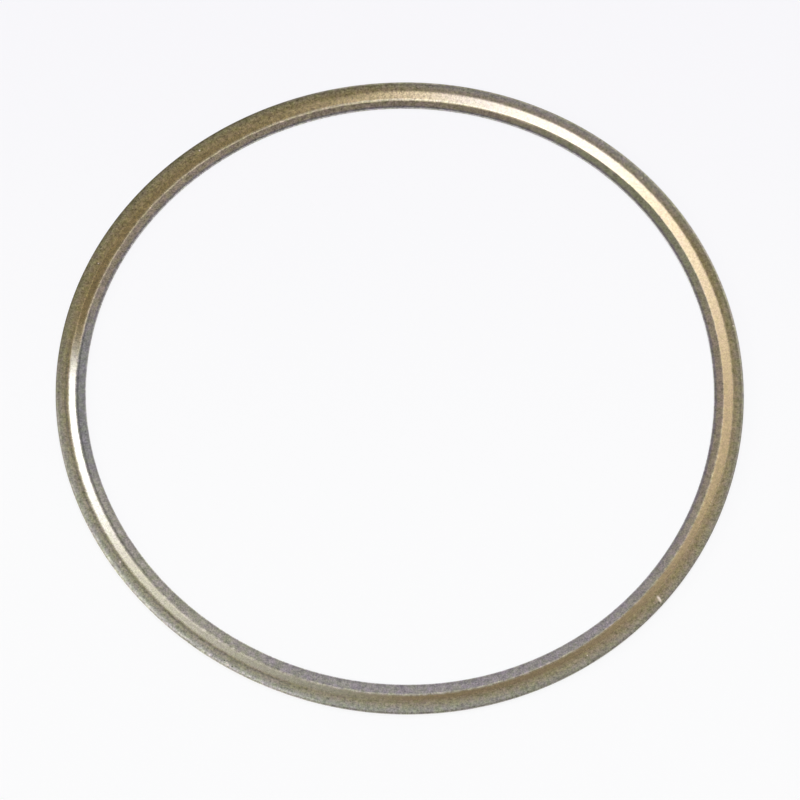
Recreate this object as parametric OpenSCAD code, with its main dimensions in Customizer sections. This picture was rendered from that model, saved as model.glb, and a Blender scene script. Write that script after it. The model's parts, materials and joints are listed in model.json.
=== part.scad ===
// Exhaust pipe gasket: one thin ring, stamped from heat-tinted stainless sheet.
// Its section steps down from an outer flange, over a slope, to an inner flange.
// The ring lies on its inner flange. The origin is at its centre, level with that flange's underside.

/* [Ring] */
// Diameter of the bore that the exhaust gas passes through
bore_d = 133.4; // [60:0.1:330]
// Thickness of the sheet
sheet_t = 0.4; // [0.2:0.05:0.8]

/* [Flanges] */
// Radial width of the flat inner flange
inner_flange_w = 1.9; // [1:0.1:8]
// Radial width of the slope, with the bends at its foot and its crest
slope_w = 2.6; // [1.8:0.1:8]
// Radial width of the flat outer flange, as far as the turned-down rim
outer_flange_w = 1.2; // [0.6:0.1:8]
// Height of the outer flange above the inner one
step_h = 0.5; // [0.3:0.05:1]

/* [Bends] */
// Inside radius of the bend at the foot of the slope
foot_r = 0.5; // [0.3:0.1:3]
// Inside radius of the bend at the crest of the slope
crest_r = 2.5; // [0.3:0.1:4]

/* [Rim] */
// Radial width of the rim that is turned down
rim_w = 0.6; // [0.2:0.1:0.7]
// Inside radius that the rim is turned to
rim_r = 1; // [0.8:0.1:3]

/* [Hidden] */
$fn = 240;
// Straight steps that draw each bend
bend_steps = 8;
bronze = [0.55, 0.48, 0.36];

// Radii at which the section changes form, from the bore outwards
bore_x = bore_d / 2;
foot_x = bore_x + inner_flange_w;
crest_x = foot_x + slope_w;
rim_x = crest_x + outer_flange_w;

// Two bends share the slope, and shrink together where it is too short or too steep for them
bend_room = (slope_w * slope_w + step_h * step_h) / (2 * step_h);
bend_share = 0.9;
bend_fit = min(1, (bend_share * bend_room - sheet_t) / (foot_r + crest_r));
foot_in = foot_r * bend_fit;
crest_in = crest_r * bend_fit;

// Angle of the straight line that touches both bends on the upper face
bends = foot_in + crest_in + sheet_t;
slope_a = atan2(slope_w, bends - step_h) - acos(bends / norm([slope_w, bends - step_h]));

// Centres of the bends
foot_c = [foot_x, sheet_t + foot_in];
crest_c = [crest_x, step_h - crest_in];
rim_c = [rim_x, step_h - rim_r];

function arc(centre, r, a0, a1) = [
    for (i = [0 : bend_steps])
        let (a = a0 + (a1 - a0) * i / bend_steps)
            centre + r * [cos(a), sin(a)]
];

// The rim's edge is trimmed upright, which ends each of its two arcs at the same reach
function rim_end(r) = acos(rim_w / r);

upper_face = concat(
    arc(rim_c, rim_r + sheet_t, rim_end(rim_r + sheet_t), 90),
    arc(crest_c, crest_in + sheet_t, 90, 90 + slope_a),
    arc(foot_c, foot_in, slope_a - 90, -90),
    [[bore_x, sheet_t]]
);

lower_face = concat(
    [[bore_x, 0]],
    arc(foot_c, foot_in + sheet_t, -90, slope_a - 90),
    arc(crest_c, crest_in, 90 + slope_a, 90),
    arc(rim_c, rim_r, 90, rim_end(rim_r))
);

module gasket_ring() {
    color(bronze)
        rotate_extrude()
            polygon(concat(upper_face, lower_face));
}

gasket_ring();
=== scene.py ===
import json
import math

import bpy
import numpy as np
from mathutils import Matrix, Vector


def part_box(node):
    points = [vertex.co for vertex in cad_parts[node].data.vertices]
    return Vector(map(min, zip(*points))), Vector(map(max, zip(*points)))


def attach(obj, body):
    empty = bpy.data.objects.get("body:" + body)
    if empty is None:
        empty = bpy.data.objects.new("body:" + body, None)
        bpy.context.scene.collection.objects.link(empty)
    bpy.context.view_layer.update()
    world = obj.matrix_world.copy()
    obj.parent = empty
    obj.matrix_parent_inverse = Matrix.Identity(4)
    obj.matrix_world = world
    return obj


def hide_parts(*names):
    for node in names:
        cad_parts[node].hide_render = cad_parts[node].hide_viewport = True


# Looks of an exhaust pipe gasket: one stamped ring of heat-tinted stainless sheet, lying on a white table
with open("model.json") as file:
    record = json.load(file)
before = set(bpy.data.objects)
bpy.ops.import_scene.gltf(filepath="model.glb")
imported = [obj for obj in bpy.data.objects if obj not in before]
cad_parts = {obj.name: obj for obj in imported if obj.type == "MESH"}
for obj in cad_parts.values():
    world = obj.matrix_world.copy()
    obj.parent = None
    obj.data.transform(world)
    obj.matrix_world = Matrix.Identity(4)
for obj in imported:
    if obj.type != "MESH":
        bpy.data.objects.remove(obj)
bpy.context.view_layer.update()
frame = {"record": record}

MM = 0.001

# Section of the ring in mm, as the solid has it
MOUNTS = {mount["name"]: mount["dims"] for mount in frame["record"]["mounts"]}
BORE_R = MOUNTS["bore"]["r_mm"]
SHEET = MOUNTS["bore"]["length_mm"]
OUTER_R = MOUNTS["rim"]["r_mm"]
RING_LOW, RING_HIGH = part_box("gasket_ring")
STEP = round((RING_HIGH.z - RING_LOW.z) / MM - SHEET, 3)
INNER_FLANGE = 1.9
SLOPE = 2.6
RIM = 0.6
FOOT_BEND = 0.5
CREST_BEND = 2.5
RIM_BEND = 1.0
FOOT_X = BORE_R + INNER_FLANGE
CREST_X = FOOT_X + SLOPE
RIM_X = OUTER_R - RIM

# Ease of the sheet's cut edges, in mm, and the steps that draw it
EDGE_EASE = 0.05
EDGE_STEPS = 3

# Spacing of the mesh in mm, fine from just inside the crest to the rim, and the columns round the ring
FINE_STEP = 0.07
FINE_BEFORE_CREST = 0.6
UPPER_STEP = 0.16
UNDER_STEP = 0.4
BEND_STEPS = 8
COLUMNS = 600
NICK_STEP = 0.04
NICK_REACH = 1.1
# Takes rounding errors out of counts
ROUNDING = 1e-6

# The ring isn't quite round: three low lobes, as shares of the radius
LOBES = 3
LOBE_COS = -0.00494
LOBE_SIN = 0.00163

# A nick in the outer flange, in mm: where it lies, how it leans and bends, and how wide and deep it is
NICK_ANGLE = math.radians(-41.43)
NICK_RADIUS = 71.75
NICK_FROM = 70.75
NICK_TO = 72.7
NICK_FADE = 0.6
NICK_LEAN = -0.3
NICK_CURVE = 0.12
NICK_WIDTH = 0.16
NICK_DEPTH = 0.035
NICK_BURR = 0.014
# Shares of the nick's width: how far its burrs lie to either side, how wide they and the bare streak are
BURR_ASIDE = 1.8
BURR_WIDTH = 0.7
BARE_WIDTH = 1.7
# A pit beside the nick
PIT_ANGLE = math.radians(-41.95)
PIT_RADIUS = 72.2
PIT_WIDTH = 0.24
PIT_DEPTH = 0.03

# Rows that the ring's strip is cut into on the map for baked finishes, and the gap between them
MAP_ROWS = 6
MAP_GAP = 0.006


def srgb(red, green, blue):
    """A colour written as the photo shows it, 0 to 255, as the linear colour that the shaders take."""
    shares = [channel / 255 for channel in (red, green, blue)]
    return (*[s / 12.92 if s <= 0.04045 else ((s + 0.055) / 1.055) ** 2.4 for s in shares], 1.0)


class Tree:
    """A node tree, with short calls that add a node and give back its output."""

    def __init__(self, tree):
        self.tree = tree
        tree.nodes.clear()

    def feed(self, socket, value):
        """Sets an input to a value, or links another node's output to it."""
        if isinstance(value, bpy.types.NodeSocket):
            self.tree.links.new(value, socket)
        else:
            socket.default_value = value

    def add(self, kind, feeds=(), **settings):
        """Adds a node. feeds pairs an input's name or number with what goes into it."""
        node = self.tree.nodes.new(kind)
        for name, value in settings.items():
            setattr(node, name, value)
        for name, value in dict(feeds).items():
            self.feed(node.inputs[name], value)
        return node

    def maths(self, operation, *values):
        """One calculation with numbers, such as ADD or MULTIPLY."""
        return self.add("ShaderNodeMath", enumerate(values), operation=operation).outputs[0]

    def rise(self, value, low, high):
        """0 below low, 1 above high, and a smooth step between."""
        feeds = {"Value": value, "From Min": low, "From Max": high}
        return self.add("ShaderNodeMapRange", feeds, interpolation_type="SMOOTHSTEP").outputs[0]

    def between(self, value, low, low_full, high_full, high):
        """1 from low_full to high_full, with a smooth step down to 0 at low and at high."""
        up = self.rise(value, low, low_full)
        over = self.rise(value, high_full, high)
        return self.maths("MULTIPLY", up, self.maths("SUBTRACT", 1.0, over))

    def scaled(self, vector, x, y, z):
        """A vector with each axis times its own number."""
        feeds = {0: vector, 1: (x, y, z)}
        return self.add("ShaderNodeVectorMath", feeds, operation="MULTIPLY").outputs[0]

    def noise(self, where, scale, detail, rough):
        """Soft random values round 0.5."""
        feeds = {"Vector": where, "Scale": scale, "Detail": detail, "Roughness": rough}
        return self.add("ShaderNodeTexNoise", feeds).outputs[0]

    def mix(self, share, first, second):
        """A colour that goes from first to second as share goes from 0 to 1."""
        node = self.add("ShaderNodeMix", data_type="RGBA")
        self.feed(node.inputs[0], share)
        self.feed(node.inputs[6], first)
        self.feed(node.inputs[7], second)
        return node.outputs[2]

    def mix_value(self, share, first, second):
        """A number that goes from first to second as share goes from 0 to 1."""
        return self.add("ShaderNodeMix", {0: share, 2: first, 3: second}, data_type="FLOAT").outputs[0]

    def brighten(self, colour, factor):
        """A colour times a number."""
        return self.add("ShaderNodeVectorMath", {0: colour, "Scale": factor}, operation="SCALE").outputs[0]

    def times(self, colour, shift):
        """A colour times another, channel by channel."""
        return self.add("ShaderNodeVectorMath", {0: colour, 1: shift}, operation="MULTIPLY").outputs[0]

    def shaded(self, colour, share, factor):
        """A colour times a factor where share is 1, and unchanged where it's 0."""
        return self.brighten(colour, self.mix_value(share, 1.0, factor))

    def facing(self, heading, angle):
        """How much a heading faces an angle in degrees round the ring: 1 at it, -1 opposite it."""
        aim = (math.cos(math.radians(angle)), math.sin(math.radians(angle)), 0)
        return self.add("ShaderNodeVectorMath", {0: heading, 1: aim}, operation="DOT_PRODUCT").outputs[1]

    def zone(self, heading, angle, full, reach):
        """1 within full degrees of an angle, with a smooth step down to 0 at reach degrees."""
        likeness = self.facing(heading, angle)
        return self.rise(likeness, math.cos(math.radians(reach)), math.cos(math.radians(full)))


# The ring's mesh

def arc(centre, radius, start, end):
    """Points of an arc, as rows of x and z, from one angle to another."""
    angles = np.linspace(start, end, BEND_STEPS + 1)
    return np.array(centre) + radius * np.stack([np.cos(angles), np.sin(angles)], axis=1)


def faces_of_section():
    """The upper face from the rim to the bore, and the lower face from the bore to the rim."""
    bends = FOOT_BEND + CREST_BEND + SHEET
    tilt = math.atan2(SLOPE, bends - STEP) - math.acos(bends / math.hypot(SLOPE, bends - STEP))
    up = math.pi / 2
    foot = (FOOT_X, SHEET + FOOT_BEND)
    crest = (CREST_X, STEP - CREST_BEND)
    rim = (RIM_X, STEP - RIM_BEND)
    upper = np.vstack([
        arc(rim, RIM_BEND + SHEET, math.acos(RIM / (RIM_BEND + SHEET)), up),
        arc(crest, CREST_BEND + SHEET, up, up + tilt),
        arc(foot, FOOT_BEND, tilt - up, -up),
        [(BORE_R, SHEET)],
    ])
    lower = np.vstack([
        [(BORE_R, 0.0)],
        arc(foot, FOOT_BEND + SHEET, -up, tilt - up),
        arc(crest, CREST_BEND, up + tilt, up),
        arc(rim, RIM_BEND, up, math.acos(RIM / RIM_BEND)),
    ])
    return upper, lower


def eased(before, corner, after):
    """A corner turned into a short curve."""
    t = np.linspace(0, 1, EDGE_STEPS + 1)[:, None]
    start = corner + EDGE_EASE * (before - corner) / np.linalg.norm(before - corner)
    end = corner + EDGE_EASE * (after - corner) / np.linalg.norm(after - corner)
    return (1 - t) ** 2 * start + 2 * t * (1 - t) * corner + t ** 2 * end


def filled(points, step, fine_from=math.inf):
    """The same line with more points: no step is longer than step, or than FINE_STEP beyond a radius."""
    rows = []
    for start, end in zip(points[:-1], points[1:]):
        limit = FINE_STEP if (start[0] + end[0]) / 2 > fine_from else step
        count = max(1, math.ceil(np.linalg.norm(end - start) / limit - ROUNDING))
        rows.extend(start + (end - start) * number / count for number in range(count))
    return np.array(rows + [points[-1]])


def section():
    """The closed outline as rows of x and z, and whether each point is on a cut edge and on the underside."""
    upper, lower = faces_of_section()
    rim_top = eased(lower[-1], upper[0], upper[1])
    bore_top = eased(upper[-2], upper[-1], lower[0])
    bore_low = eased(upper[-1], lower[0], lower[1])
    rim_low = eased(lower[-2], lower[-1], upper[0])
    upper_face = np.vstack([rim_top[-1:], upper[1:-1], bore_top[:1]])
    bore_edge = np.vstack([bore_top[-1:], bore_low[:1]])
    lower_face = np.vstack([bore_low[-1:], lower[1:-1], rim_low[:1]])
    rim_edge = np.vstack([rim_low[-1:], rim_top[:1]])
    runs = [
        (rim_top, 1, 0),
        (filled(upper_face, UPPER_STEP, CREST_X - FINE_BEFORE_CREST), 0, 0),
        (bore_top, 1, 0),
        (filled(bore_edge, UPPER_STEP), 1, 0),
        (bore_low, 1, 0),
        (filled(lower_face, UNDER_STEP), 0, 1),
        (rim_low, 1, 0),
        (filled(rim_edge, UPPER_STEP), 1, 0),
    ]
    outline = np.vstack([points[:-1] for points, cut, under in runs])
    cut = np.concatenate([np.full(len(points) - 1, cut) for points, cut, under in runs])
    under = np.concatenate([np.full(len(points) - 1, under) for points, cut, under in runs])
    return outline, cut, under


def outward(outline):
    """The outward normal at each point of the closed outline."""
    along = np.roll(outline, -1, axis=0) - np.roll(outline, 1, axis=0)
    along /= np.linalg.norm(along, axis=1)[:, None]
    return np.stack([along[:, 1], -along[:, 0]], axis=1)


def column_angles():
    """Angles of the mesh's columns: even steps, and much closer ones at the nick."""
    even = np.arange(COLUMNS) * 2 * math.pi / COLUMNS - math.pi
    reach = NICK_REACH / NICK_RADIUS
    close = np.arange(NICK_ANGLE - reach, NICK_ANGLE + reach, NICK_STEP / NICK_RADIUS)
    return np.sort(np.concatenate([even[np.abs(even - NICK_ANGLE) > reach], close]))


def lobed(angle):
    """The radius at an angle, as a share of the radius of a true circle."""
    return 1 + LOBE_COS * np.cos(LOBES * angle) + LOBE_SIN * np.sin(LOBES * angle)


def bell(distance, width):
    """1 at no distance, falling away smoothly over a width."""
    return np.exp(-((distance / width) ** 2))


def nick(angle, radius):
    """The height in mm that the nick and its pit add to the upper face, and how bare and dark they are."""
    along = radius - NICK_RADIUS
    aside = (angle - NICK_ANGLE) * radius - NICK_LEAN * along + NICK_CURVE * along ** 2
    ends = np.clip(np.minimum(radius - NICK_FROM, NICK_TO - radius) / NICK_FADE, 0, 1)
    burrs = sum(bell(aside + side * BURR_ASIDE * NICK_WIDTH, BURR_WIDTH * NICK_WIDTH) for side in (-1, 1))
    pit = bell(np.hypot((angle - PIT_ANGLE) * radius, radius - PIT_RADIUS), PIT_WIDTH)
    height = ends * (NICK_BURR * burrs - NICK_DEPTH * bell(aside, NICK_WIDTH)) - PIT_DEPTH * pit
    bare = ends * bell(aside, BARE_WIDTH * NICK_WIDTH)
    return height, bare, pit


def add_number(mesh, name, values):
    """Gives each of the mesh's points a number that the material can read."""
    numbers = np.ravel(values).astype(np.float32)
    mesh.attributes.new(name, "FLOAT", "POINT").data.foreach_set("value", numbers)


def strip_map(mesh, angles, outline, quads):
    """The map that finishes are baked through: the ring's skin as one strip, cut into rows."""
    lengths = np.linalg.norm(np.roll(outline, -1, axis=0) - outline, axis=1)
    along = np.concatenate([[0], np.cumsum(lengths)])
    along = along / along[-1]
    column, point = np.divmod(quads[:, 0], len(outline))
    row = np.floor((angles[column] + math.pi) / (2 * math.pi) * MAP_ROWS + ROUNDING)
    ends = np.append(angles, math.pi)
    turn = np.stack([ends[column], ends[column + 1], ends[column + 1], ends[column]], axis=1)
    turn = (turn + math.pi) / (2 * math.pi) * MAP_ROWS - row[:, None]
    height = np.stack([along[point], along[point], along[point + 1], along[point + 1]], axis=1)
    room = 1 / MAP_ROWS - MAP_GAP
    u = MAP_GAP + turn * (1 - 2 * MAP_GAP)
    v = row[:, None] / MAP_ROWS + MAP_GAP / 2 + height * room
    layer = mesh.uv_layers.new(name="OFBake")
    layer.uv.foreach_set("vector", np.stack([u, v], axis=2).astype(np.float32).ravel())


def make_ring():
    """The ring as one closed mesh: the section revolved on a slightly lobed circle, with the nick cut in."""
    outline, cut, under = section()
    normals = outward(outline)
    angles = column_angles()
    turn, radius = np.meshgrid(angles, outline[:, 0], indexing="ij")
    height, bare, dark = nick(turn, radius)
    on_top = (1 - cut) * (1 - under)
    height = height * on_top
    reach = (radius + height * normals[:, 0]) * lobed(turn)
    rise = outline[:, 1] + height * normals[:, 1]
    points = np.stack([reach * np.cos(turn), reach * np.sin(turn), rise], axis=2).reshape(-1, 3) * MM
    columns, count = len(angles), len(outline)
    # The number of each column's first point, and the points' places in the outline
    first, point = np.meshgrid(np.arange(columns) * count, np.arange(count), indexing="ij")
    next_first, next_point = (first + count) % (columns * count), (point + 1) % count
    corners = [first + point, next_first + point, next_first + next_point, first + next_point]
    quads = np.stack(corners, axis=2).reshape(-1, 4)

    mesh = bpy.data.meshes.new("stamped_ring")
    mesh.from_pydata(points.tolist(), [], quads.tolist())
    mesh.shade_smooth()
    add_number(mesh, "across", radius - BORE_R)
    add_number(mesh, "cut", np.broadcast_to(cut, radius.shape))
    add_number(mesh, "under", np.broadcast_to(under, radius.shape))
    add_number(mesh, "bare", bare * on_top)
    add_number(mesh, "dark", dark * on_top)
    strip_map(mesh, angles, outline, quads)
    ring = bpy.data.objects.new("stamped_ring", mesh)
    bpy.context.scene.collection.objects.link(ring)
    return ring


# Finishes

# Colours of the heat-tinted steel by place: browner at the far side and greyer at the near side. Some of
# them are painted light: painted highlight on the rim and its cut edge at the lower left, painted shade on
# the rim at the far left, painted highlight on the slope and a painted highlight line at the slope's foot.
RIM_DULL = srgb(160, 155, 140)
RIM_PALE = srgb(180, 174, 154)
RIM_SHADE = srgb(110, 103, 79)
RIM_HIGHLIGHT = srgb(196, 190, 172)
OUTER_BROWN = srgb(131, 119, 88)
OUTER_TAN = srgb(144, 132, 105)
OUTER_GREY = srgb(147, 141, 122)
OUTER_DULL = srgb(139, 130, 117)
SLOPE_BRONZE = srgb(175, 155, 121)
SLOPE_BROWN = srgb(174, 152, 108)
SLOPE_HIGHLIGHT = srgb(190, 187, 172)
SLOPE_GREY = srgb(174, 169, 148)
LINE_PALE = srgb(204, 188, 153)
LINE_GREY = srgb(206, 199, 180)
INNER_OLIVE = srgb(139, 126, 106)
INNER_GREEN = srgb(134, 131, 106)
INNER_DULL = srgb(117, 110, 106)
INNER_SLATE = srgb(131, 128, 122)
INNER_GREY = srgb(147, 140, 134)
INNER_WARM = srgb(150, 144, 128)
EDGE_PALE = srgb(184, 180, 174)
EDGE_HIGHLIGHT = srgb(222, 217, 206)
UNDER_TINT = srgb(138, 127, 104)
BARE_STEEL = srgb(222, 206, 183)
PIT_DARK = srgb(74, 68, 54)

# How the outer flange's tint shifts towards the rim and towards the crest
TOWARDS_RIM = (0.99, 1.04, 1.1, 1)
TOWARDS_CREST = (1.0, 0.95, 0.84, 1)

# How a stain shifts the colours under it, and how much of it shows on the slope
STAIN_OLIVE = (0.98, 1.03, 0.88, 1)
STAIN_VIOLET = (1.03, 0.98, 1.08, 1)
SLOPE_STAIN = 0.4

# Factors that darken a colour where a zone or a band is at full strength. Those for the crest, the rim's
# bend, the slope's end and the foot are painted shade.
CREST_SHADE_TINT = (0.78, 0.82, 0.9)
BEND_SHADE = 0.82
SLOPE_END_SHADE = 0.9
INNER_DARK = 0.84
BORE_SIDE_DARK = 0.88
FOOT_SHADE_FACTOR = 0.6

# How much shows of the rim's own colour, of the rim's painted highlight between patches and of the slope's
# painted highlight at the right
RIM_SHARE = 0.9
RIM_HIGHLIGHT_LEAST = 0.5
LIT_RIGHT_SHARE = 0.22

# Strength of the painted highlight line at the slope's foot: least, far side, near side where it's broken,
# left end, dimmer part, glints
LINE_LEAST = 0.1
LINE_FAR = 0.92
LINE_BROKEN = 0.3
LINE_LEFT = 0.6
LINE_DIMMER = 0.72
GLINT_STRENGTH = 0.5

# Zones round the ring: angle, degrees of full strength to either side, and of reach.
# The angle counts anticlockwise from the ring's right, seen from above.
GREY_NEAR = (-115, 15, 85)
GREY_SLOPE = (-137, 34, 52)
LIT_SLOPE_LEFT = (-168, 8, 24)
LIT_SLOPE_RIGHT = (64, 8, 26)
GREY_INNER = (-108, 52, 98)
GREEN_INNER = (42, 8, 32)
SLATE_INNER = (-176, 6, 20)
BROWN_SLOPE = (135, 30, 60)
MOTTLED_BROWN = (122, 30, 50)
SHADED_SLOPE_END = (164, 2, 11)
TAN_RIGHT = (-30, 16, 60)
DULL_FAR = (62, 6, 38)
WARM_INNER = (-140, 14, 36)
DARK_INNER = (72, 28, 62)
SHADED_FOOT = (-165, 18, 34)
LIT_RIM = (-127, 9, 30)
PALE_RIM = (58, 32, 62)
SHADED_RIM = (145, 18, 46)
SHADED_BEND = (130, 48, 64)
SHADED_BEND_RIGHT = (2, 10, 30)
LINE_LIT_FAR = (108, 20, 60)
LINE_LIT_NEAR = (-68, 48, 75)
DIMMER_LINE = (-28, 14, 36)
LINE_LIT_LEFT = (162, 7, 16)
CRISP_LEFT = (-147, 34, 46)
SHARP_LEFT = (176, 12, 30)
CRISP_RIGHT = (40, 50, 66)

# Distances from the bore, in mm, at which the finish changes
LINE_FROM = 1.9
LINE_TO = 2.28
LINE_BAND = (1.72, 2.0, 2.15, 2.56)
CREST_LEFT = (3.4, 4.05)
CREST_SHARP = (3.3, 3.9)
CREST_RIGHT = (3.65, 4.35)
CREST_SHADE = (3.95, 4.15, 4.35, 4.6)
SOFT_CREST = (2.9, 4.25)
RIM_BAND = (5.3, 5.5, 5.75, 6.0)
RIM_EDGE = (5.75, 6.05)
LIT_RIM_LEVELS = (5.25, 6.0)
TINT_CHANGE = (4.2, 5.7)
INNER_CHANGE = (0.4, 0.8)
FOOT_SHADE = (1.4, 1.65, 1.8, 1.95)

# The painted highlight line isn't concentric: on the side that faces this angle it lies further out, in mm
LINE_SHIFT = 0.14
LINE_SHIFT_ANGLE = -125
# Places where it wanders: angle, degrees of full strength and of reach, and how many mm it lies further in
LINE_WANDER = [(-145, 8, 34, 0.1), (60, 2, 20, 0.1), (28, 8, 26, -0.12), (120, 10, 40, -0.08)]

# Small bright specks and dark pits: angle in degrees, radius and size in mm
SPECKS = [
    (-118.3, 72.5, 0.28), (-118.7, 72.15, 0.2), (-134.7, 72.55, 0.22),
    (-144, 71.2, 0.24), (129.7, 71.3, 0.26), (44, 71.65, 0.2),
    (11.8, 72.55, 0.22), (-57, 71.2, 0.18), (158, 70.9, 0.18),
]
PITS = [
    (-117.6, 72.4, 0.26), (-119.2, 72.0, 0.2), (131, 71.0, 0.18),
    (-20, 71.8, 0.2), (80, 72.1, 0.18),
]
# Share of a spot's size that its even middle takes
SPOT_MIDDLE = 0.3

# Angles of painted glints on the highlight line, and their size in mm
GLINTS = [149.7, 135.2, 124.9, 103, 98, 93, -100.5, -125, -134.2]
GLINT_SIZE = 0.5

# Noises: features per mm, detail and roughness. PATCHES break up the rim's painted highlight,
# GAPS break the painted highlight line at the slope's foot.
MOTTLE = (1.3, 3.0, 0.75)
GRAIN = (3.0, 2.0, 0.7)
HUE = (0.7, 4.0, 0.75)
WANDER = (0.6, 3.0, 0.5)
PATCHES = (0.5, 3.0, 0.7)
GAPS = (0.8, 3.0, 0.75)
# The middle of a noise, and the range over which it turns into patches and into hues
NOISE_MIDDLE = 0.5
PATCH_CHANGE = (0.4, 0.6)
HUE_CHANGE = (0.35, 0.65)
# How far the bands' borders wander, in mm between the noise's extremes
WANDER_REACH = 0.3

# Roughness of the flats, the slope and its sharpest part, and how much the mottle changes it
FLAT_ROUGH = 0.45
SLOPE_ROUGH = 0.14
SHARP_ROUGH = 0.1
ROUGH_SPREAD = 0.12
# Contrast of the mottle on the flats and on the slope
FLAT_SPREAD = 3.2
SLOPE_SPREAD = 1.3
# The same in the brown part at the far left
BROWN_FLAT_SPREAD = 4.4
BROWN_SLOPE_SPREAD = 3.0
# The least factor by which the mottle darkens a colour
DARKEST_FLECK = 0.4
# Height of the relief in mm, the grain's share in it, and how much of it the slope has
BUMP_HEIGHT = 0.008
GRAIN_HEIGHT = 0.4
SLOPE_BUMP = 0.07


def spots(tree, place, marks):
    """1 in the middle of each mark, with a smooth step down to 0 at its size."""
    total = 0.0
    for degrees, radius, size in marks:
        angle = math.radians(degrees)
        reach = radius * lobed(angle)
        centre = (reach * math.cos(angle), reach * math.sin(angle), 0)
        away = tree.add("ShaderNodeVectorMath", {0: place, 1: centre}, operation="DISTANCE").outputs[1]
        share = tree.maths("SUBTRACT", 1.0, tree.rise(away, size * SPOT_MIDDLE, size))
        total = tree.maths("MAXIMUM", total, share)
    return total


def rim_highlight(tree, place, heading, level, colour):
    """Painted highlight on the rim at the lower left, in patches."""
    lit_area = tree.maths("MULTIPLY", tree.zone(heading, *LIT_RIM), tree.rise(level, *LIT_RIM_LEVELS))
    patches = tree.rise(tree.noise(place, *PATCHES), *PATCH_CHANGE)
    patches = tree.maths("MULTIPLY_ADD", patches, 1 - RIM_HIGHLIGHT_LEAST, RIM_HIGHLIGHT_LEAST)
    return tree.mix(tree.maths("MULTIPLY", lit_area, patches), colour, RIM_HIGHLIGHT)


def outer_tint(tree, place, heading, level):
    """Colour of the outer flange and its rim, with painted shade on the crest, the rim's bend and the far
    rim.
    """
    colour = tree.mix(tree.zone(heading, *TAN_RIGHT), OUTER_BROWN, OUTER_TAN)
    colour = tree.mix(tree.zone(heading, *GREY_NEAR), colour, OUTER_GREY)
    colour = tree.mix(tree.zone(heading, *DULL_FAR), colour, OUTER_DULL)
    shift = tree.mix(tree.rise(level, *TINT_CHANGE), TOWARDS_CREST, TOWARDS_RIM)
    colour = tree.times(colour, shift)
    # Painted shade along the bend into the rim, at the far left and at the right
    band = tree.maths("MAXIMUM", tree.zone(heading, *SHADED_BEND), tree.zone(heading, *SHADED_BEND_RIGHT))
    band = tree.maths("MULTIPLY", band, tree.between(level, *RIM_BAND))
    colour = tree.shaded(colour, band, BEND_SHADE)
    # Painted shade along the crest beside the left highlight
    shade = tree.maths("MULTIPLY", tree.between(level, *CREST_SHADE), tree.zone(heading, *CRISP_LEFT))
    colour = tree.mix(shade, colour, tree.times(colour, CREST_SHADE_TINT))
    rim = tree.mix(tree.zone(heading, *PALE_RIM), RIM_DULL, RIM_PALE)
    # Painted shade on the rim at the far left
    rim = tree.mix(tree.zone(heading, *SHADED_RIM), rim, RIM_SHADE)
    colour = tree.mix(tree.maths("MULTIPLY", tree.rise(level, *RIM_EDGE), RIM_SHARE), colour, rim)
    return rim_highlight(tree, place, heading, level, colour)


def slope_tint(tree, heading):
    """Colour of the slope, paler as painted highlight at its two bright stretches and darker as painted shade
    where the left one ends.
    """
    colour = tree.mix(tree.zone(heading, *BROWN_SLOPE), SLOPE_BRONZE, SLOPE_BROWN)
    colour = tree.mix(tree.zone(heading, *GREY_SLOPE), colour, SLOPE_GREY)
    # Painted highlight: the slope is paler where its highlights lie
    pale = tree.maths("MULTIPLY", tree.zone(heading, *LIT_SLOPE_RIGHT), LIT_RIGHT_SHARE)
    pale = tree.maths("MAXIMUM", pale, tree.zone(heading, *LIT_SLOPE_LEFT))
    colour = tree.mix(pale, colour, SLOPE_HIGHLIGHT)
    # Painted shade where the left highlight ends
    return tree.shaded(colour, tree.zone(heading, *SHADED_SLOPE_END), SLOPE_END_SHADE)


def inner_tint(tree, heading, level):
    """Colour of the inner flange, with a painted shade line under the slope's bright end at the left."""
    far = tree.mix(tree.zone(heading, *GREEN_INNER), INNER_OLIVE, INNER_GREEN)
    far = tree.mix(tree.rise(level, *INNER_CHANGE), INNER_DULL, far)
    near = tree.mix(tree.zone(heading, *WARM_INNER), INNER_GREY, INNER_WARM)
    near = tree.mix(tree.rise(level, *INNER_CHANGE), tree.brighten(near, BORE_SIDE_DARK), near)
    colour = tree.mix(tree.zone(heading, *GREY_INNER), far, near)
    colour = tree.mix(tree.zone(heading, *SLATE_INNER), colour, INNER_SLATE)
    colour = tree.shaded(colour, tree.zone(heading, *DARK_INNER), INNER_DARK)
    # Painted shade beside the slope's highlight at the left
    shade = tree.maths("MULTIPLY", tree.between(level, *FOOT_SHADE), tree.zone(heading, *SHADED_FOOT))
    return tree.shaded(colour, shade, FOOT_SHADE_FACTOR)


def line_level(tree, heading, level):
    """The distance from the bore as the painted highlight line sees it, which lies to one side and wanders.
    """
    level = tree.maths("MULTIPLY_ADD", tree.facing(heading, LINE_SHIFT_ANGLE), -LINE_SHIFT, level)
    for angle, full, reach, further_in in LINE_WANDER:
        level = tree.maths("MULTIPLY_ADD", tree.zone(heading, angle, full, reach), further_in, level)
    return level


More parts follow.
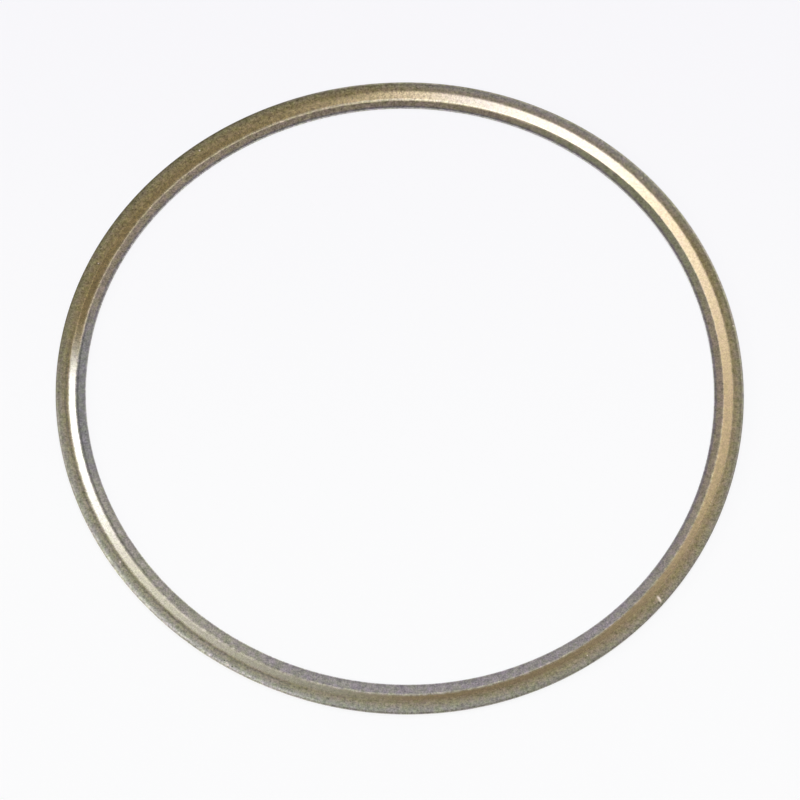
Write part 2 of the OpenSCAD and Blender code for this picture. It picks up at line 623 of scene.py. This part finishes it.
def foot_highlight(tree, place, heading, level):
    """How strong the painted highlight line at the slope's foot is: even at the far side, broken at the near
    side.
    """
    broken = tree.rise(tree.noise(place, *GAPS), *PATCH_CHANGE)
    broken = tree.maths("MULTIPLY_ADD", broken, 1 - LINE_BROKEN, LINE_BROKEN)
    strength = tree.maths("MULTIPLY", tree.zone(heading, *LINE_LIT_FAR), LINE_FAR)
    strength = tree.maths("MULTIPLY_ADD", tree.zone(heading, *LINE_LIT_NEAR), broken, strength)
    dimmer = tree.mix_value(tree.zone(heading, *DIMMER_LINE), 1.0, LINE_DIMMER)
    strength = tree.maths("MULTIPLY", strength, dimmer)
    left = tree.maths("MULTIPLY", tree.zone(heading, *LINE_LIT_LEFT), LINE_LEFT)
    strength = tree.maths("MAXIMUM", tree.maths("MAXIMUM", strength, left), LINE_LEAST)
    middle = BORE_R + (LINE_FROM + LINE_TO) / 2
    # Painted glints along the line
    glint_spots = spots(tree, place, [(angle, middle, GLINT_SIZE) for angle in GLINTS])
    strength = tree.maths("ADD", strength, tree.maths("MULTIPLY", glint_spots, GLINT_STRENGTH))
    return tree.maths("MULTIPLY", tree.between(level, *LINE_BAND), tree.maths("MINIMUM", strength, 1.0))


def past_the_crest(tree, heading, level):
    """1 beyond the crest and 0 on the slope, with a soft change or a crisper one by the side of the ring."""
    past = tree.rise(level, *SOFT_CREST)
    for zone, change in [(CRISP_LEFT, CREST_LEFT), (SHARP_LEFT, CREST_SHARP), (CRISP_RIGHT, CREST_RIGHT)]:
        past = tree.mix_value(tree.zone(heading, *zone), past, tree.rise(level, *change))
    return past


def with_mottle(tree, place, heading, colour, gloss, mottle, grain):
    """A colour with stains and mottle, both weaker on the glossy slope."""
    hue = tree.rise(tree.noise(place, *HUE), *HUE_CHANGE)
    stained = tree.times(colour, tree.mix(hue, STAIN_OLIVE, STAIN_VIOLET))
    colour = tree.mix(tree.mix_value(gloss, 1.0, SLOPE_STAIN), colour, stained)
    # The average of the two noises, as its difference from the middle
    fleck = tree.maths("MULTIPLY_ADD", tree.maths("ADD", mottle, grain), 0.5, -NOISE_MIDDLE)
    brown = tree.zone(heading, *MOTTLED_BROWN)
    flat_spread = tree.mix_value(brown, FLAT_SPREAD, BROWN_FLAT_SPREAD)
    slope_spread = tree.mix_value(brown, SLOPE_SPREAD, BROWN_SLOPE_SPREAD)
    spread = tree.mix_value(gloss, flat_spread, slope_spread)
    brightness = tree.maths("MULTIPLY_ADD", fleck, spread, 1.0)
    return tree.brighten(colour, tree.maths("MAXIMUM", brightness, DARKEST_FLECK))


def relief(tree, gloss, mottle, grain):
    """The normal of the finely uneven surface, which is nearly smooth on the slope."""
    height = tree.maths("MULTIPLY_ADD", grain, GRAIN_HEIGHT, mottle)
    strength = tree.mix_value(gloss, 1.0, SLOPE_BUMP)
    feeds = {"Strength": strength, "Distance": BUMP_HEIGHT * MM, "Height": height}
    return tree.add("ShaderNodeBump", feeds).outputs[0]


def tinted_steel():
    """Stamped stainless sheet: matte mottled flanges, a glossy slope and a painted highlight line at its
    foot.
    """
    material = bpy.data.materials.new("tinted_stainless")
    material.use_nodes = True
    tree = Tree(material.node_tree)
    names = ["across", "cut", "under", "bare", "dark"]
    marked = [tree.add("ShaderNodeAttribute", attribute_name=name).outputs["Fac"] for name in names]
    across, cut, under, bare, dark = marked
    place = tree.add("ShaderNodeTexCoord").outputs["Object"]
    place = tree.scaled(place, 1 / MM, 1 / MM, 1 / MM)
    flat_place = tree.scaled(place, 1, 1, 0)
    heading = tree.add("ShaderNodeVectorMath", {0: flat_place}, operation="NORMALIZE").outputs[0]
    mottle = tree.noise(place, *MOTTLE)
    grain = tree.noise(place, *GRAIN)
    wander = tree.maths("SUBTRACT", tree.noise(place, *WANDER), NOISE_MIDDLE)
    level = tree.maths("ADD", across, tree.maths("MULTIPLY", wander, WANDER_REACH))
    foot_level = line_level(tree, heading, level)
    past_crest = past_the_crest(tree, heading, level)
    past_foot = tree.rise(foot_level, LINE_FROM, LINE_TO)
    gloss = tree.maths("MULTIPLY", past_foot, tree.maths("SUBTRACT", 1.0, past_crest))

    outer = outer_tint(tree, flat_place, heading, level)
    colour = tree.mix(past_crest, slope_tint(tree, heading), outer)
    colour = tree.mix(past_foot, inner_tint(tree, heading, level), colour)
    # The pale line at the slope's foot is a painted highlight of the tight bend there
    line = tree.mix(tree.zone(heading, *GREY_NEAR), LINE_PALE, LINE_GREY)
    colour = tree.mix(foot_highlight(tree, flat_place, heading, foot_level), colour, line)
    colour = tree.mix(under, colour, UNDER_TINT)
    # The cut edge is pale, with a painted highlight on it at the lower left
    colour = tree.mix(cut, colour, tree.mix(tree.zone(heading, *LIT_RIM), EDGE_PALE, EDGE_HIGHLIGHT))
    colour = with_mottle(tree, place, heading, colour, gloss, mottle, grain)
    bare = tree.maths("MAXIMUM", bare, spots(tree, flat_place, SPECKS))
    colour = tree.mix(bare, colour, BARE_STEEL)
    dark = tree.maths("MAXIMUM", dark, spots(tree, flat_place, PITS))
    colour = tree.mix(dark, colour, PIT_DARK)

    slope_rough = tree.mix_value(tree.zone(heading, *SHARP_LEFT), SLOPE_ROUGH, SHARP_ROUGH)
    rough = tree.mix_value(gloss, FLAT_ROUGH, slope_rough)
    uneven = tree.maths("SUBTRACT", mottle, NOISE_MIDDLE)
    rough = tree.maths("MULTIPLY_ADD", uneven, ROUGH_SPREAD, rough)
    normal = relief(tree, gloss, mottle, grain)
    feeds = {"Base Color": colour, "Roughness": rough, "Normal": normal, "Metallic": 1.0}
    shader = tree.add("ShaderNodeBsdfPrincipled", feeds)
    tree.add("ShaderNodeOutputMaterial", {"Surface": shader.outputs[0]})
    return material


# Stage, light and camera

# Half the floor's width in metres, its colours far off and near, and how they blend along it
FLOOR_HALF = 4.0
FLOOR_FAR = srgb(251, 250, 253)
FLOOR_NEAR = srgb(255, 255, 255)
FLOOR_BLEND = (-0.05, 0.13)
# Share of the floor's colour that shows whatever the light, which keeps it white under a soft shadow
FLOOR_GLOW = 0.85
# Gap between the ring and the floor, in mm
FLOOR_GAP = 0.01

# What the ring's surroundings look like: a dim studio ceiling, pale walls and three soft panels.
# East and north say where a direction meets a ceiling one unit up. Each holds four places: a panel
# brightens over the first two and fades over the last two, which may start before it is at its brightest.
# The clear part of a panel is round the direction that the level flanges mirror to the camera.
CEILING = 0.445
WALLS = 0.71
# Heights, as the sine of the elevation, between which the walls turn into the ceiling
WALL_TOP = (0.15, 0.4)
# Least height that is used where a direction is followed up to the ceiling
LEAST_UP = 0.05
PANELS = [
    {"strength": 5.4, "colour": (1.0, 1.01, 1.14), "clear": (0.295, 0.325),
     "east": (-0.1, 0.61, 0.72, 0.9), "north": (0.415, 0.475, 0.17, 1.27)},
    {"strength": 5.8, "colour": (0.93, 1.04, 1.45), "clear": (0.0, 0.01),
     "east": (-0.62, -0.5, -0.2, 0.16), "north": (-0.03, 0.04, -0.3, 0.5)},
    {"strength": 1.6, "colour": (1.0, 1.0, 1.0), "clear": (0.0, 0.01),
     "east": (-0.85, -0.7, -0.55, -0.04), "north": (0.0, 0.15, 0.25, 1.12)},
]

# Where the camera sees the ceiling in a level mirror, on the same plane
MIRROR_NORTH = 0.43

# A weak warm lamp low on the left
LAMP_STRENGTH = 0.8
LAMP_SPREAD = math.radians(12)
LAMP_COLOUR = (1.0, 0.93, 0.8)
TOWARDS_LAMP = Vector((-0.96, -0.12, 0.24))


def make_world():
    """Light from all round: a dim ceiling, pale walls and three soft panels."""
    world = bpy.data.worlds.new("studio")
    bpy.context.scene.world = world
    world.use_nodes = True
    tree = Tree(world.node_tree)
    direction = tree.add("ShaderNodeTexCoord").outputs["Generated"]
    axes = tree.add("ShaderNodeSeparateXYZ", {0: direction}).outputs
    up = tree.maths("MAXIMUM", axes[2], LEAST_UP)
    east = tree.maths("DIVIDE", axes[0], up)
    north = tree.maths("DIVIDE", axes[1], up)
    light = tree.mix_value(tree.rise(axes[2], *WALL_TOP), WALLS, CEILING)
    light = tree.add("ShaderNodeCombineXYZ", {0: light, 1: light, 2: light}).outputs[0]
    north_of_mirror = tree.maths("SUBTRACT", north, MIRROR_NORTH)
    aside = tree.add("ShaderNodeCombineXYZ", {0: east, 1: north_of_mirror}).outputs[0]
    aside = tree.add("ShaderNodeVectorMath", {0: aside}, operation="LENGTH").outputs[1]
    for panel in PANELS:
        width = tree.between(east, *panel["east"])
        length = tree.between(north, *panel["north"])
        clear = tree.rise(aside, *panel["clear"])
        share = tree.maths("MULTIPLY", tree.maths("MULTIPLY", width, length), clear)
        glow = [channel * panel["strength"] for channel in panel["colour"]]
        added = tree.add("ShaderNodeVectorMath", {0: glow, "Scale": share}, operation="SCALE").outputs[0]
        light = tree.add("ShaderNodeVectorMath", {0: light, 1: added}, operation="ADD").outputs[0]
    shader = tree.add("ShaderNodeBackground", {"Color": light, "Strength": 1.0})
    tree.add("ShaderNodeOutputWorld", {"Surface": shader.outputs[0]})


def make_side_lamp():
    """The lamp that throws the soft shadow inside the ring's left side."""
    lamp = bpy.data.lights.new("side_lamp", "SUN")
    lamp.energy = LAMP_STRENGTH
    lamp.angle = LAMP_SPREAD
    lamp.color = LAMP_COLOUR
    holder = bpy.data.objects.new("side_lamp", lamp)
    holder.rotation_mode = "QUATERNION"
    holder.rotation_quaternion = TOWARDS_LAMP.to_track_quat("Z", "Y")
    bpy.context.scene.collection.objects.link(holder)


def make_floor():
    """A white table, a little more lavender far off than near the camera."""
    mesh = bpy.data.meshes.new("floor")
    signs = [(-1, -1), (1, -1), (1, 1), (-1, 1)]
    mesh.from_pydata([(x * FLOOR_HALF, y * FLOOR_HALF, 0) for x, y in signs], [], [(0, 1, 2, 3)])
    floor = bpy.data.objects.new("floor", mesh)
    floor.location.z = RING_LOW.z - FLOOR_GAP * MM
    bpy.context.scene.collection.objects.link(floor)
    material = bpy.data.materials.new("floor")
    material.use_nodes = True
    tree = Tree(material.node_tree)
    place = tree.add("ShaderNodeTexCoord").outputs["Object"]
    north = tree.add("ShaderNodeSeparateXYZ", {0: place}).outputs[1]
    colour = tree.mix(tree.rise(north, *FLOOR_BLEND), FLOOR_NEAR, FLOOR_FAR)
    diffuse = tree.add("ShaderNodeBsdfDiffuse", {"Color": colour})
    glow = tree.add("ShaderNodeEmission", {"Color": colour, "Strength": 1.0})
    ray = tree.add("ShaderNodeLightPath").outputs
    seen = tree.maths("MAXIMUM", ray["Is Camera Ray"], ray["Is Glossy Ray"])
    seen = tree.maths("MAXIMUM", seen, ray["Is Transmission Ray"])
    share = tree.maths("MULTIPLY", seen, FLOOR_GLOW)
    shader = tree.add("ShaderNodeMixShader", {0: share, 1: diffuse.outputs[0], 2: glow.outputs[0]})
    tree.add("ShaderNodeOutputMaterial", {"Surface": shader.outputs[0]})
    mesh.materials.append(material)


# The photo's camera: a long lens that looks down on the ring from the near side. Lens and sensor are in mm.
CAMERA_ELEVATION = math.radians(66.71)
CAMERA_ROLL = math.radians(1.12)
CAMERA_DISTANCE = 613.8 * MM
CAMERA_LENS = 130.27
CAMERA_SENSOR = 36.0
CAMERA_CLIP = (0.01, 50.0)
CAMERA_TARGET = Vector((-0.28, -3.68, 0.0)) * MM


def make_camera():
    """The camera that sees the ring as the photo does."""
    data = bpy.data.cameras.new("camera")
    data.lens = CAMERA_LENS
    data.sensor_width = CAMERA_SENSOR
    data.clip_start, data.clip_end = CAMERA_CLIP
    camera = bpy.data.objects.new("camera", data)
    tilt = Matrix.Rotation(math.pi / 2 - CAMERA_ELEVATION, 4, "X")
    turned = tilt @ Matrix.Rotation(CAMERA_ROLL, 4, "Z")
    back = turned @ Vector((0, 0, 1))
    camera.matrix_world = Matrix.Translation(CAMERA_TARGET + back * CAMERA_DISTANCE) @ turned
    bpy.context.scene.collection.objects.link(camera)
    bpy.context.scene.camera = camera


bpy.context.scene.view_settings.view_transform = "Standard"
make_camera()
make_world()
make_side_lamp()
make_floor()

ring = make_ring()
ring.data.materials.append(tinted_steel())
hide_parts("gasket_ring")
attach(ring, "root")
